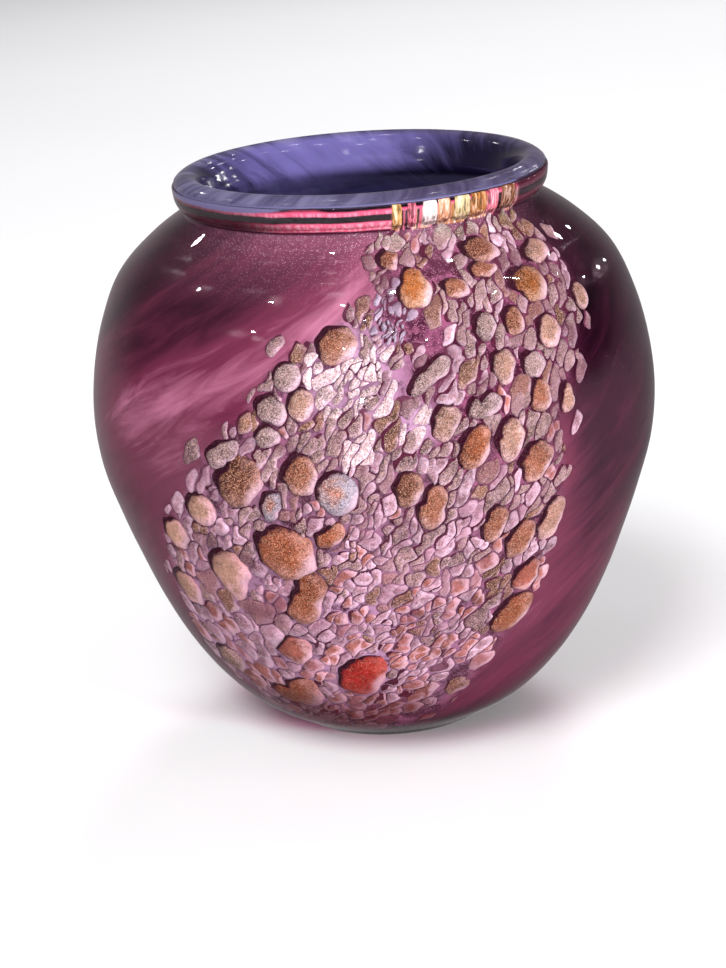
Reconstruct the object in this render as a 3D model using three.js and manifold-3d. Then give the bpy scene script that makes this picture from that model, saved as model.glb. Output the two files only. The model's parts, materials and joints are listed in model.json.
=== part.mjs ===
// Hand blown art glass vase: a clear amethyst casing over an opal lilac liner, with flat chips
// of aventurine and pale frit caught between the two layers in one diagonal spray.
// Millimetres, +Z up. Origin at the centre of the flat base; the spray faces -Y.
import * as THREE from 'three';
import { mergeVertices } from 'three/addons/utils/BufferGeometryUtils.js';
import Module from 'manifold-3d';

const wasm = await Module();
wasm.setup();

// ---- driving dimensions ----------------------------------------------------------------
const BASE_RADIUS = 27.5;        // outer edge of the flat resting face
const HEEL = 1.4;                // height of the rounded corner above the resting face
const HEEL_SPREAD = 1.8;         // how far that corner reaches out past the resting face
const PONTIL_RADIUS = 11;        // ground hollow under the base
const PONTIL_DEPTH = 1.2;
const PONTIL_CURVE = 0.6;        // share of its radius and depth where the hollow flattens
const BODY_RADIUS = 75;          // widest part of the body
const BODY_HEIGHT = 91;          // height of the widest part
const NECK_RADIUS = 45.8;        // groove between shoulder and lip
const NECK_HEIGHT = 142;
const LIP_RADIUS = 49.2;         // widest part of the rolled lip
const LIP_HEIGHT = 147.6;        // height of the widest part of the lip
const CROWN_RADIUS = 44.6;       // top of the lip
const CROWN_HEIGHT = 151.4;
const THROAT_RADIUS = 39.2;      // narrowest part of the mouth
const THROAT_HEIGHT = 140.5;

const CASING = 3.4;              // thickness of the clear casing on the wall
const LINER = 2.2;               // thickness of the opal liner on the wall
const CASING_FLOOR = 7;          // top of the casing's base
const BOWL_FLOOR = 11;           // inside bottom of the vase
const FLOOR_CORNER = 6;          // width of the corner between the casing's wall and floor
const BOWL_CORNER = 7;           // the same inside the bowl
const LAYER_GAP = 0.3;           // clearance between liner and casing
const CHIP_GAP = 0.35;           // clearance round every chip
const CHIP_THICKNESS = 1.2;
const CHIP_FOOT = 0.9;           // size of a chip's lower face as a share of its outline
const CHIP_TOP = 0.72;           // the same for its upper face
const STREAK_THICKNESS = 0.9;
const POCKET_REACH = 0.9;        // how far a pocket's cutter reaches past the casing's inside

const TURN_STEPS = 40;           // facets round the vase
const WALL_STEPS = 13;           // facets up the wall
const LIP_STEPS = 3;             // facets per quarter of the lip
const CHIP_SIDES = 8;
const HALVINGS = 30;             // steps when a height is looked up on the wall

// ---- profile ---------------------------------------------------------------------------
const at = (radius, height) => new THREE.Vector2(radius, height);

// Outside of the wall, from the heel to the neck groove.
const wall = new THREE.SplineCurve([
  at(BASE_RADIUS + HEEL_SPREAD, HEEL),
  at(36.5, 5.5),
  at(46.8, 15),
  at(58, 32),
  at(67.5, 55),
  at(BODY_RADIUS - 0.6, 78),
  at(BODY_RADIUS - 0.2, BODY_HEIGHT + 3),
  at(72, 110),
  at(65.5, 125.5),
  at(55.5, 135.5),
  at(NECK_RADIUS, NECK_HEIGHT),
]);
const wallLength = wall.getLength();

// A layer edge inside the lip: up out of the neck, then outwards under the crown.
const lipSeam = new THREE.SplineCurve([
  at(NECK_RADIUS - 2.2, NECK_HEIGHT - 1.2),
  at(NECK_RADIUS - 1.6, NECK_HEIGHT + 1.6),
  at(NECK_RADIUS + 0.4, NECK_HEIGHT + 4.4),
  at(LIP_RADIUS - 1, LIP_HEIGHT + 1),
]);

// Points of a curve moved to one side by a distance; positive is inwards on a rising curve.
function shifted(curve, start, end, steps, distance) {
  const points = [];
  for (let i = 0; i <= steps; i += 1) {
    const u = THREE.MathUtils.lerp(start, end, i / steps);
    const point = curve.getPointAt(u);
    const tangent = curve.getTangentAt(u);
    points.push(at(point.x - tangent.y * distance, point.y + tangent.x * distance));
  }
  return points;
}

// Quarter ellipse or less, as points, with angles in degrees from the outward direction.
function arc(centreRadius, centreHeight, halfWidth, halfHeight, from, to, steps) {
  const points = [];
  for (let i = 0; i <= steps; i += 1) {
    const angle = THREE.MathUtils.degToRad(THREE.MathUtils.lerp(from, to, i / steps));
    const radius = centreRadius + halfWidth * Math.cos(angle);
    points.push(at(radius, centreHeight + halfHeight * Math.sin(angle)));
  }
  return points;
}

// ---- solids ----------------------------------------------------------------------------
// Closed three.js geometry as a manifold solid.
function solid(geometry) {
  geometry.deleteAttribute('normal');
  geometry.deleteAttribute('uv');
  const merged = mergeVertices(geometry);
  const corners = merged.index.array;
  const kept = [];
  for (let i = 0; i < corners.length; i += 3) {
    const [a, b, c] = corners.slice(i, i + 3);
    if (a !== b && b !== c && c !== a) {
      kept.push(a, b, c);
    }
  }
  return new wasm.Manifold(new wasm.Mesh({
    numProp: 3,
    vertProperties: new Float32Array(merged.attributes.position.array),
    triVerts: new Uint32Array(kept),
  }));
}

// Named mesh of a manifold solid.
function part(name, body, look) {
  const { vertProperties, triVerts } = body.getMesh();
  const geometry = new THREE.BufferGeometry();
  geometry.setAttribute('position', new THREE.BufferAttribute(vertProperties, 3));
  geometry.setIndex(new THREE.BufferAttribute(triVerts, 1));
  geometry.computeVertexNormals();
  const mesh = new THREE.Mesh(geometry, new THREE.MeshStandardMaterial(look));
  mesh.name = name;
  return mesh;
}

function turned(profile) {
  const geometry = new THREE.LatheGeometry(profile, TURN_STEPS);
  geometry.rotateX(Math.PI / 2);
  return solid(geometry);
}

// ---- surfaces that the chips lie on ----------------------------------------------------
// Position on a curve turned about the axis. `across` runs round the vase and `along` runs up
// the curve, both in millimetres from the spot; `lift` is the distance out of the curve.
function onSurface(curve, length, spot, depth) {
  return (across, along, lift) => {
    const u = THREE.MathUtils.clamp(spot.u + along / length, 0, 1);
    const point = curve.getPointAt(u);
    const tangent = curve.getTangentAt(u);
    const radius = point.x + tangent.y * (lift - depth);
    const height = point.y - tangent.x * (lift - depth);
    const angle = spot.angle + across / radius;
    return new THREE.Vector3(radius * Math.sin(angle), -radius * Math.cos(angle), height);
  };
}

// Place on the wall at a given height, found by halving.
function wallParameter(height) {
  let low = 0;
  let high = 1;
  for (let i = 0; i < HALVINGS; i += 1) {
    const middle = (low + high) / 2;
    if (wall.getPointAt(middle).y < height) {
      low = middle;
    } else {
      high = middle;
    }
  }
  return low;
}

// Flat rounded body on a surface: rings of corners, each with its size and its lift, and a
// centre point on each face.
function slab(surface, chip, grow, rings) {
  const lean = THREE.MathUtils.degToRad(chip.tilt);
  const corners = [surface(0, 0, rings[0].lift)];
  for (const ring of rings) {
    for (let i = 0; i < CHIP_SIDES; i += 1) {
      const angle = (2 * Math.PI * i) / CHIP_SIDES;
      const rise = Math.sin(angle);
      const narrow = 1 - chip.taper * rise;
      const x = ring.scale * Math.cos(angle) * narrow * (chip.width / 2 + grow);
      const y = ring.scale * rise * (chip.length / 2 + grow);
      const across = x * Math.cos(lean) + y * Math.sin(lean);
      const along = y * Math.cos(lean) - x * Math.sin(lean);
      corners.push(surface(across, along, ring.lift));
    }
  }
  corners.push(surface(0, 0, rings[rings.length - 1].lift));

  const last = corners.length - 1;
  const index = [];
  for (let i = 0; i < CHIP_SIDES; i += 1) {
    const next = (i + 1) % CHIP_SIDES;
    index.push(0, 1 + next, 1 + i);
    for (let ring = 0; ring < rings.length - 1; ring += 1) {
      const low = 1 + ring * CHIP_SIDES;
      const high = low + CHIP_SIDES;
      index.push(low + i, low + next, high + next);
      index.push(low + i, high + next, high + i);
    }
    const rim = 1 + (rings.length - 1) * CHIP_SIDES;
    index.push(rim + i, rim + next, last);
  }
  const geometry = new THREE.BufferGeometry();
  geometry.setAttribute('position', new THREE.BufferAttribute(
    new Float32Array(corners.flatMap((corner) => corner.toArray())), 3));
  geometry.setIndex(index);
  return solid(geometry);
}

// ---- colours of the glass --------------------------------------------------------------
const LOOKS = {
  amethyst: { color: 0x6e3350, roughness: 0.05, metalness: 0 },
  lilac: { color: 0x7c72a8, roughness: 0.2, metalness: 0 },
  amber: { color: 0xc98a45, roughness: 0.35, metalness: 0.5 },
  copper: { color: 0xb0744f, roughness: 0.35, metalness: 0.5 },
  orange: { color: 0xb9683f, roughness: 0.35, metalness: 0.4 },
  red: { color: 0xb0423a, roughness: 0.35, metalness: 0.4 },
  coral: { color: 0xbe7460, roughness: 0.4, metalness: 0.1 },
  brown: { color: 0x8a5b4b, roughness: 0.4, metalness: 0.4 },
  tan: { color: 0xb9a08f, roughness: 0.4, metalness: 0.2 },
  cream: { color: 0xcdb3a6, roughness: 0.4, metalness: 0.1 },
  silver: { color: 0xb9aaa8, roughness: 0.4, metalness: 0.3 },
  blue: { color: 0xb5bccb, roughness: 0.4, metalness: 0.1 },
};

// ---- chips -----------------------------------------------------------------------------
// name, colour, azimuth in degrees from the front towards +X, height, width, length,
// tilt in degrees (positive leans the top towards +X), taper (positive narrows the top)
const CHIPS = [
  ['amber_teardrop', 'amber', 10, 130, 8.5, 12, -5, 0.4],
  ['coral_neck', 'coral', 6, 138, 3.5, 4.5, 0, 0],
  ['brown_neck', 'brown', 33, 137, 10, 7, 10, 0],
  ['amber_shoulder', 'amber', 49, 134, 12, 5.5, -20, 0],
  ['copper_bar', 'copper', 30, 131.5, 8, 4.5, 10, 0],
  ['copper_midway', 'copper', 21, 130, 7, 5, 10, 0],
  ['gold_right_upper', 'amber', 40, 126.5, 10, 10, 10, -0.15],
  ['gold_right_lower', 'copper', 40, 116.5, 7, 8, 10, 0.1],
  ['tan_far_right', 'tan', 53, 122, 5, 7.5, 5, 0],
  ['silver_upper', 'silver', 25, 121, 4.5, 8, 10, 0],
  ['gold_upper', 'amber', 32, 121, 5, 7, 5, 0],
  ['copper_top_left', 'copper', -7, 120, 9, 9, 25, 0.15],
  ['silver_left_upper', 'silver', -17, 113, 6.5, 7, 20, 0],
  ['bronze_upper', 'brown', 34, 110, 6, 6.5, 5, 0],
  ['gold_middle_upper', 'amber', 27, 111, 5.5, 9, 5, 0],
  ['tan_left', 'tan', -14, 105.5, 5.5, 7, 15, 0],
  ['silver_left_middle', 'silver', -20.5, 105, 7, 6, 20, 0],
  ['silver_left_lower', 'silver', -21, 98, 7, 4.5, 0, 0],
  ['silver_crescent', 'silver', -30, 95, 9, 4.5, -25, 0],
  ['brown_left', 'brown', -26, 85.5, 9, 11, 25, 0],
  ['copper_left', 'copper', -14, 90, 6, 11, 10, 0.1],
  ['blue_round', 'blue', -7.5, 84.5, 9.5, 10, 0, 0],
  ['blue_sliver', 'blue', -19.5, 81, 3, 8, 10, 0],
  ['pale_round', 'cream', -36, 78, 7.5, 7.5, 0, 0],
  ['pale_far_left', 'cream', -45, 70, 7, 9, 15, 0],
  ['orange_large', 'orange', -18.5, 68.5, 13, 10.5, 15, 0],
  ['orange_tail', 'orange', -8.5, 74, 5, 8, 40, -0.2],
  ['orange_diagonal', 'orange', -15, 53.5, 7.5, 14, 30, 0.1],
  ['cream_patch', 'cream', -33, 60, 9, 12, 10, 0.2],
  ['cream_low', 'cream', -50, 51, 7.5, 11, -15, 0],
  ['red_lozenge', 'red', -8, 30, 12, 13, 20, 0],
  ['orange_hook', 'orange', -30, 20, 11, 11, 25, 0],
  ['coral_low', 'coral', -25, 35, 8.5, 8.5, 0, 0.1],
  ['tan_low_left', 'tan', -50, 28, 9, 10, -20, 0],
  ['orange_red_middle', 'orange', 18.5, 93.5, 8.5, 12, 15, 0.1],
  ['copper_middle_right', 'copper', 26, 92, 5.5, 11, 15, 0],
  ['copper_right_edge', 'copper', 33, 87.5, 6.5, 10, 15, 0],
  ['silver_curl', 'silver', 20, 103.5, 8, 4.5, -10, 0],
  ['copper_right_tall', 'copper', 34, 101, 5.5, 8.5, 5, 0],
  ['tan_right_edge', 'tan', 41, 99.5, 4, 7.5, 5, 0],
  ['gold_middle', 'amber', 11, 98.5, 6, 8, 15, 0],
  ['silver_bar', 'silver', 13, 109, 3.5, 11, 60, 0],
  ['dark_copper', 'brown', 3, 83, 4.5, 10, 10, 0],
  ['copper_tall', 'copper', 10, 78.5, 6, 15, 12, 0],
  ['copper_right_low', 'copper', 23, 71, 5, 12, 15, 0],
  ['copper_right_lower', 'copper', 29.5, 66, 5.5, 11, 15, 0],
  ['tan_right_tall', 'tan', 37, 70, 5.5, 15, 15, 0.2],
  ['pink_oval', 'coral', 32, 53, 5.5, 8.5, 20, 0],
  ['orange_oval', 'orange', 28, 42, 7.5, 10, 40, 0],
];

// Chips drawn out over the lip: name, colour, azimuth in degrees, width.
const STREAK_LENGTH = 6.4;
const SEAM_MIDDLE = 0.5;         // share of the lip's layer edge at a streak's middle
const STREAKS = [
  ['amber', 'amber', 10, 1.8],
  ['rose', 'coral', 14.5, 1.6],
  ['white', 'blue', 20, 3],
  ['apricot', 'orange', 24.5, 2.6],
  ['cream', 'cream', 30.5, 3.6],
  ['caramel', 'copper', 36.5, 4],
  ['pink', 'coral', 42, 2.8],
  ['brown', 'brown', 49, 4.6],
];

const group = new THREE.Group();
const cutters = [];

function addChip(name, colour, surface, chip, thickness) {
  const body = slab(surface, chip, 0, [
    { scale: CHIP_FOOT, lift: CHIP_GAP },
    { scale: 1, lift: CHIP_GAP + thickness / 2 },
    { scale: CHIP_TOP, lift: CHIP_GAP + thickness },
  ]);
  const pocket = slab(surface, chip, CHIP_GAP, [
    { scale: 1, lift: -POCKET_REACH },
    { scale: 1, lift: CHIP_GAP + thickness + CHIP_GAP },
  ]);
  cutters.push(pocket);
  group.add(part(name, body, LOOKS[colour]));
}

for (const [name, colour, azimuth, height, width, length, tilt, taper] of CHIPS) {
  const spot = { u: wallParameter(height), angle: THREE.MathUtils.degToRad(azimuth) };
  const surface = onSurface(wall, wallLength, spot, CASING + LAYER_GAP);
  addChip(`chip_${name}`, colour, surface, { width, length, tilt, taper }, CHIP_THICKNESS);
}

const seamLength = lipSeam.getLength();
for (const [name, colour, azimuth, width] of STREAKS) {
  const spot = { u: SEAM_MIDDLE, angle: THREE.MathUtils.degToRad(azimuth) };
  const surface = onSurface(lipSeam, seamLength, spot, 0);
  const chip = { width, length: STREAK_LENGTH, tilt: 0, taper: 0 };
  addChip(`lip_streak_${name}`, colour, surface, chip, STREAK_THICKNESS);
}

// ---- the two layers --------------------------------------------------------------------
const FLOOR_START = 0.08;        // share of the wall below the bowl's inside corner
const NECK_END = 0.965;          // share of the wall where the inside leaves it for the throat
const INSIDE_TRIM = 0.03;        // the same shares are shortened by this on the bowl's inside
const LIP_SPLIT = 14;            // degrees above the lip's widest part where the casing ends
const LIP_OPENING = 9;           // degrees from there to the start of the liner's crown

// Clear casing: ground base, wall, underside and edge of the lip, then its inside.
function casingBody() {
  const underside = arc(NECK_RADIUS, LIP_HEIGHT, LIP_RADIUS - NECK_RADIUS,
    LIP_HEIGHT - NECK_HEIGHT, -90, 0, LIP_STEPS).slice(1);
  const edge = arc(CROWN_RADIUS, LIP_HEIGHT, LIP_RADIUS - CROWN_RADIUS,
    CROWN_HEIGHT - LIP_HEIGHT, 0, LIP_SPLIT, 1).slice(1);
  const seam = shifted(lipSeam, 0, 1, LIP_STEPS, 0).reverse();
  const inside = shifted(wall, FLOOR_START, NECK_END, WALL_STEPS, CASING).reverse();
  const body = turned([
    at(0, PONTIL_DEPTH),
    at(PONTIL_RADIUS * PONTIL_CURVE, PONTIL_DEPTH * PONTIL_CURVE),
    at(PONTIL_RADIUS, 0),
    at(BASE_RADIUS, 0),
    ...shifted(wall, 0, 1, WALL_STEPS, 0),
    ...underside,
    ...edge,
    ...seam,
    ...inside,
    at(inside[WALL_STEPS].x - FLOOR_CORNER, CASING_FLOOR),
    at(0, CASING_FLOOR),
  ]);
  return cutters.reduce((left, cutter) => left.subtract(cutter), body);
}

// Opal liner: outside against the casing, crown of the lip, throat and the inside of the bowl.
function linerBody() {
  const outside = shifted(wall, FLOOR_START, NECK_END, WALL_STEPS, CASING + LAYER_GAP);
  const seam = shifted(lipSeam, 0, 1, LIP_STEPS, LAYER_GAP);
  const crown = arc(CROWN_RADIUS, LIP_HEIGHT, LIP_RADIUS - CROWN_RADIUS,
    CROWN_HEIGHT - LIP_HEIGHT, LIP_SPLIT + LIP_OPENING, 90, LIP_STEPS);
  const mouth = arc(CROWN_RADIUS, THROAT_HEIGHT, CROWN_RADIUS - THROAT_RADIUS,
    CROWN_HEIGHT - THROAT_HEIGHT, 90, 180, LIP_STEPS).slice(1);
  const depth = CASING + LAYER_GAP + LINER;
  const inside = shifted(
    wall, FLOOR_START + INSIDE_TRIM, NECK_END - INSIDE_TRIM, WALL_STEPS, depth).reverse();
  return turned([
    at(0, CASING_FLOOR + LAYER_GAP),
    at(outside[0].x - FLOOR_CORNER, CASING_FLOOR + LAYER_GAP),
    ...outside,
    ...seam,
    ...crown,
    ...mouth,
    ...inside,
    at(inside[WALL_STEPS].x - BOWL_CORNER, BOWL_FLOOR),
    at(0, BOWL_FLOOR),
  ]);
}

group.add(part('amethyst_casing', casingBody(), LOOKS.amethyst));
group.add(part('opal_liner', linerBody(), LOOKS.lilac));

export default group;
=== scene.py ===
# Looks of the hand blown art glass vase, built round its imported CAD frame.
# Every length is in metres, +Z up; the spray of chips faces -Y.
import json
import math
import random

import bpy
import numpy as np
from mathutils import Matrix, Vector


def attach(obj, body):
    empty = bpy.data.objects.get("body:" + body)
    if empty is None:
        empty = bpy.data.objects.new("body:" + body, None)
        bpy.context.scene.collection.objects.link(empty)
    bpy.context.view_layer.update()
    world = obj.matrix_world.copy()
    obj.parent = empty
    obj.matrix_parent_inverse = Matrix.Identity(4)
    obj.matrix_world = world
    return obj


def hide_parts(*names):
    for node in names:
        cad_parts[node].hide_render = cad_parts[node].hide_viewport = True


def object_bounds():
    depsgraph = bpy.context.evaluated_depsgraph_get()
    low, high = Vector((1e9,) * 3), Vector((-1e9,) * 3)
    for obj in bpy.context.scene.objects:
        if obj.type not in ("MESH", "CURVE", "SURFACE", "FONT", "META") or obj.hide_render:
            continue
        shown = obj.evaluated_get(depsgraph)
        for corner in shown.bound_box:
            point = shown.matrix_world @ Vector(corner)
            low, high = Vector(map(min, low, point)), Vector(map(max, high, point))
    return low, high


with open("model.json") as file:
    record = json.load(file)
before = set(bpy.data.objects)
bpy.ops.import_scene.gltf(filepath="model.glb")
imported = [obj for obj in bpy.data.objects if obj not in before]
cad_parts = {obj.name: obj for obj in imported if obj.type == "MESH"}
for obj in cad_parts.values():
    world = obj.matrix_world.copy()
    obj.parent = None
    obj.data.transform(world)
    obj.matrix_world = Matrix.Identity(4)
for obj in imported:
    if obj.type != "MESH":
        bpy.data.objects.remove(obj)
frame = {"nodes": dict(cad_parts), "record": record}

cad_low, cad_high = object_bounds()
MM = 0.001
BODY = "root"
CASING = "amethyst_casing"
LINER = "opal_liner"
SLOT_OF = {part["node"]: part["material_slot"] for part in frame["record"]["subparts"]}

# ---- camera and stage ------------------------------------------------------------------
# Angles are in degrees, the lens is in mm and the power of a lamp in watts.
CAMERA_DISTANCE = 0.600
CAMERA_HEIGHT = 0.2606
CAMERA_PITCH = 18.27
CAMERA_TURN = 0.44
CAMERA_ROLL = 3.92
CAMERA_LENS = 86.1
FLOOR_SIZE = 8.0
FLOOR_COLOURS = (0.70, 0.70, 0.71, 1), (0.74, 0.74, 0.75, 1)
ROOM_COLOUR = (1.0, 0.91, 0.95, 1)
BACKDROP = 0.60            # brightness of the room where the camera looks straight at it
# Large soft lamps: name, azimuth, elevation, distance, size and power.
SOFT_LAMPS = [("key_low_right", 48, 12, 2.0, 0.25, 46), ("top_front", -25, 50, 2.2, 0.9, 54),
              ("back_fill", 165, 42, 2.4, 0.9, 36)]
# Small lamps that the glass mirrors as glints: (azimuth, elevation).
GLINT_DISTANCE = 1.0
GLINT_SIZE, GLINT_POWER = 0.026, 0.16
GLINTS = [(-143, 35), (-111, 44), (-55, 35), (-5, 12), (99, 68), (130, 16), (137, 30),
          (-140, 78), (-20, 66), (16, 72), (42, 60), (-70, 60), (70, 48)]
# Smaller ones, most of them seen on the inside of the bowl.
SMALL_GLINT_SIZE, SMALL_GLINT_POWER = 0.016, 0.08
SMALL_GLINTS = [(118, 22), (125, 38), (145, 22), (108, 34), (150, 44), (-12, 30), (10, 38),
                (-3, 50), (24, 30), (160, 30), (138, 12), (95, 48)]

# ---- glass -----------------------------------------------------------------------------
TURN_STEPS = 360
WALL_ROWS = 150
LIP_ROWS = 40
BACK_ROWS = 120            # rows of the casing's hidden inner face
OUTER_ROWS = 190           # rows of the liner's two faces
INNER_ROWS = 130
RING_CORNERS = 20          # a turned ring of the CAD has at least this many corners
SIDE_LIMIT = 0.02          # least radial part of a normal that counts as facing out or in
HIDDEN = 0.45 * MM         # how far the casing's inner face runs inside the liner
LIP_SKIN = 0.9 * MM        # thickness of clear glass over the colours of the lip
WOBBLE = 0.16 * MM         # waviness of the blown surface
CASING_WAVE = 11           # seeds of the waviness outside and inside
LINER_WAVE = 23
CROWN_DEPTH = 1.2 * MM     # how far the lip's lilac reaches down inside
SWIRL = 2.4                # how fine the wisps of the plum are round the vase
SWIRL_RISE = 38 * MM       # height of one wisp
TWIST_RISE = 43 * MM       # height in which the wisps climb round by a radian
CHIP_BULGE = 0.22 * MM     # how far the casing swells over a large chip
PONTIL_RADIUS = 11 * MM
PONTIL_DEPTH = 1.2 * MM

# ---- spray of chips --------------------------------------------------------------------
SEED = 7
TRIES = 30000              # places tried for a small chip
# Edges of the spray: (height in mm, azimuth in degrees), from the base up.
SPRAY_LEFT = [(0, -24), (10, -40), (30, -57), (50, -56), (68, -50), (80, -41), (94, -33),
              (103, -25), (113, -20), (121, -10), (129, 4), (143, 3)]
SPRAY_RIGHT = [(0, 6), (14, 16), (31, 27), (47, 34), (70, 38), (93, 37), (108, 43),
               (122, 52), (134, 54), (143, 50)]
LARGE_CORNERS = 48         # corners of a chip's outline
SMALL_CORNERS = 20
SMALL_SPACING = 3.4 * MM
SMALL_THICKNESS = 0.55 * MM
LARGE_THICKNESS = 1.3 * MM
STREAK_THICKNESS = 0.35 * MM
# Painted shadows: each chip may have a flat dark crescent below it, past its upper left.
CRESCENT_THICKNESS = 0.28 * MM
CRESCENT_EDGE = 2.0        # value of the edge attribute that marks the crescent of a painted shadow
SMALL_GAP = 0.09 * MM      # half the gap between neighbouring small chips
MERGED_SHARE = 0.52        # share of small chips that run into their neighbour
# Patches with finer or coarser chips: (azimuth in degrees, height in mm, radius in mm,
# share of the usual spacing)
SIZE_PATCHES = [(-4, 74, 15, 0.62), (12, 136, 11, 0.62), (4, 118, 10, 0.6), (8, 42, 16, 0.72),
                (-40, 38, 26, 1.7), (30, 106, 20, 1.25), (-28, 90, 12, 1.2),
                (5, 124, 8, 0.6), (-4, 108, 9, 0.6)]
# Patches with few chips: (azimuth in degrees, height in mm, radius in mm, share of chips)
OPEN_PATCHES = [(12, 120, 5, 0.003), (7, 110, 4.5, 0.003), (20, 131, 4, 0.003),
                (6, 101, 3.5, 0.003), (24, 22, 11, 0.02), (31, 38, 7, 0.02), (10, 8, 9, 0.02)]
# Patches with a kind of their own: (azimuth in degrees, height in mm, radius in mm, kind)
# Glare chips are painted near white as a glare of light on the spray, without painted shadows
# or dark shade lines.
GLARE = "small_glare_chips"
BLUE = "small_blue_chips"
KIND_PATCHES = [(-5, 111, 12, GLARE), (5, 124, 7, BLUE), (8, 100, 5, GLARE),
                (-4, 96, 5, GLARE)]
# How the small chips lie: at some heights in mm, their lean from upright in degrees, how
# many times as long as wide they are, how bold their edges are (the painted shade round
# them, their painted shadows and the gaps between them) and how thick they are.
LEAN = (0, 40, 90, 115, 140), (50, 42, 27, 28, 14)
STRETCH = (0, 60, 90, 140), (1.6, 1.5, 2.2, 1.9)
BOLDNESS = (20, 62, 90, 110), (0.12, 0.3, 0.8, 1.0)
THICKNESS = (20, 90), (0.6, 1.0)
LOW_LEFT_LEAN = -30        # their lean low at the left
PALE_GROUND = (14, 32, 52, 72, 95, 122), (0.0, 1.0, 0.85, 0.4, 0.12, 0.05)
# Slow drift that bends the outlines of neighbouring chips together: (waves per metre
# across, waves per metre along, metres across, metres along, phase)
DRIFT = [(120, 45, 0.42 * MM, 0.30 * MM, 0.3), (-70, 105, 0.36 * MM, 0.42 * MM, 2.1),
         (185, -150, 0.22 * MM, 0.24 * MM, 4.0), (60, 230, 0.24 * MM, 0.16 * MM, 5.2)]
DRIFT_RADIUS = 65 * MM
# What the heat did to the large chips: (shift right in mm, shift up in mm, how far each
# reaches to the right, upper right, up and so on round to the lower right, as a share of
# the CAD's plain oval).
SHAPES = {
    "chip_amber_teardrop": (1.2, 2.6, (0.95, 1.05, 1.3, 0.9, 1.02, 1.08, 1.2, 1.05)),
    "chip_coral_neck": (0.4, -0.8, (1.5,) * 8),
    "chip_copper_midway": (0.0, 0.8, (1.1,) * 8),
    "chip_copper_bar": (0.2, 2.4, (1.2, 1.15, 1.3, 1.1, 1.15, 1.2, 1.2, 1.1)),
    "chip_gold_right_upper": (0.0, 2.0, (1.15, 1.2, 1.15, 1.2, 1.15, 0.95, 1.15, 1.2)),
    "chip_copper_right_tall": (0.6, 1.0, (1.2,) * 8),
    "chip_silver_curl": (1.6, -1.0, (1.5, 1.5, 0.55, 1.25, 1.25, 1.3, 1.45, 1.4)),
    "chip_silver_bar": (-1.6, 2.8, (1.2, 1.8, 1.3, 1.1, 1.2, 1.8, 1.3, 1.1)),
    "chip_copper_top_left": (0.0, 0.4, (1.12, 1.25, 1.12, 1.2, 1.12, 1.2, 1.12, 1.12)),
    "chip_silver_left_upper": (-0.5, 0.0, (1.15,) * 8),
    "chip_tan_left": (-0.6, 1.0, (1.2, 1.25, 1.35, 1.25, 1.2, 1.25, 1.35, 1.25)),
    "chip_silver_left_middle": (0.0, 0.0, (1.3, 1.15, 1.25, 1.2, 1.3, 1.2, 1.25, 1.35)),
    "chip_silver_left_lower": (-0.5, 0.2, (1.12,) * 8),
    "chip_silver_crescent": (-1.5, -1.8, (1.3, 1.45, 1.5, 1.3, 1.4, 1.5, 1.3, 0.9)),
    "chip_brown_left": (-2.6, 0.6, (1.55, 1.5, 1.5, 1.25, 1.5, 1.4, 1.45, 1.2)),
    "chip_copper_left": (-1.2, -1.0, (1.4, 1.2, 1.2, 1.25, 1.5, 1.25, 1.15, 1.25)),
    "chip_blue_round": (-0.9, -0.5, (1.16, 1.22, 1.32, 1.22, 1.16, 1.22, 1.34, 1.25)),
    "chip_blue_sliver": (-2.6, -0.8, (1.6, 1.5, 1.3, 1.4, 1.6, 1.5, 1.4, 1.5)),
    "chip_pale_round": (-2.6, -1.2, (1.35,) * 8),
    "chip_dark_copper": (3.0, 0.8, (1.5, 1.3, 1.2, 1.3, 1.5, 1.3, 1.2, 1.3)),
    "chip_gold_middle": (3.0, 1.4, (1.25, 1.3, 1.3, 1.2, 1.25, 1.25, 1.3, 1.2)),
    "chip_orange_red_middle": (0.6, -0.6, (0.95, 1.1, 0.95, 0.85, 0.95, 1.15, 1.05, 0.9)),
    "chip_copper_middle_right": (0.6, 1.0, (1.2, 1.25, 1.2, 1.15, 1.2, 1.2, 1.2, 1.15)),
    "chip_copper_right_edge": (-1.0, -1.4, (1.4, 1.3, 1.25, 1.35, 1.5, 1.35, 1.3, 1.2)),
    "chip_copper_tall": (0.0, 0.0, (1.02, 1.1, 1.1, 0.9, 1.1, 1.05, 1.1, 1.05)),
    "chip_copper_right_lower": (0.0, -1.0, (1.4, 1.35, 1.25, 1.3, 1.35, 1.35, 1.3, 1.25)),
    "chip_tan_right_tall": (0.0, -1.4, (1.3, 1.1, 1.15, 1.2, 1.3, 1.2, 1.1, 1.2)),
    "chip_pale_far_left": (-3.4, -2.4, (1.3, 1.2, 1.25, 1.3, 1.4, 1.2, 1.25, 1.2)),
    "chip_orange_tail": (-2.8, -2.4, (1.1, 1.5, 1.0, 0.9, 1.2, 1.2, 1.0, 0.9)),
    "chip_orange_large": (-2.2, -1.8, (1.25, 1.45, 1.6, 1.5, 1.25, 1.45, 1.75, 1.5)),
    "chip_orange_diagonal": (-2.8, -0.4, (0.95, 1.35, 1.75, 1.0, 1.05, 1.6, 1.45, 0.95)),
    "chip_cream_patch": (-2.4, -0.6, (1.45, 1.3, 1.3, 1.5, 1.4, 1.2, 1.8, 1.1)),
    "chip_cream_low": (-2.2, -0.6, (1.25,) * 8),
    "chip_coral_low": (0.2, 1.0, (1.15, 1.3, 1.35, 1.05, 1.15, 1.1, 1.35, 1.25)),
    "chip_orange_hook": (-0.6, 0.4, (1.45, 1.7, 0.85, 0.5, 1.4, 1.4, 1.35, 1.4)),
    "chip_red_lozenge": (-0.4, -2.6, (1.12, 1.5, 1.25, 0.95, 1.05, 1.4, 1.4, 1.12)),
    "chip_orange_oval": (3.0, 0.4, (1.35, 1.6, 1.4, 1.3, 1.35, 1.6, 1.4, 1.3)),
    "chip_pink_oval": (0.8, 0.4, (1.35,) * 8),
}
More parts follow.
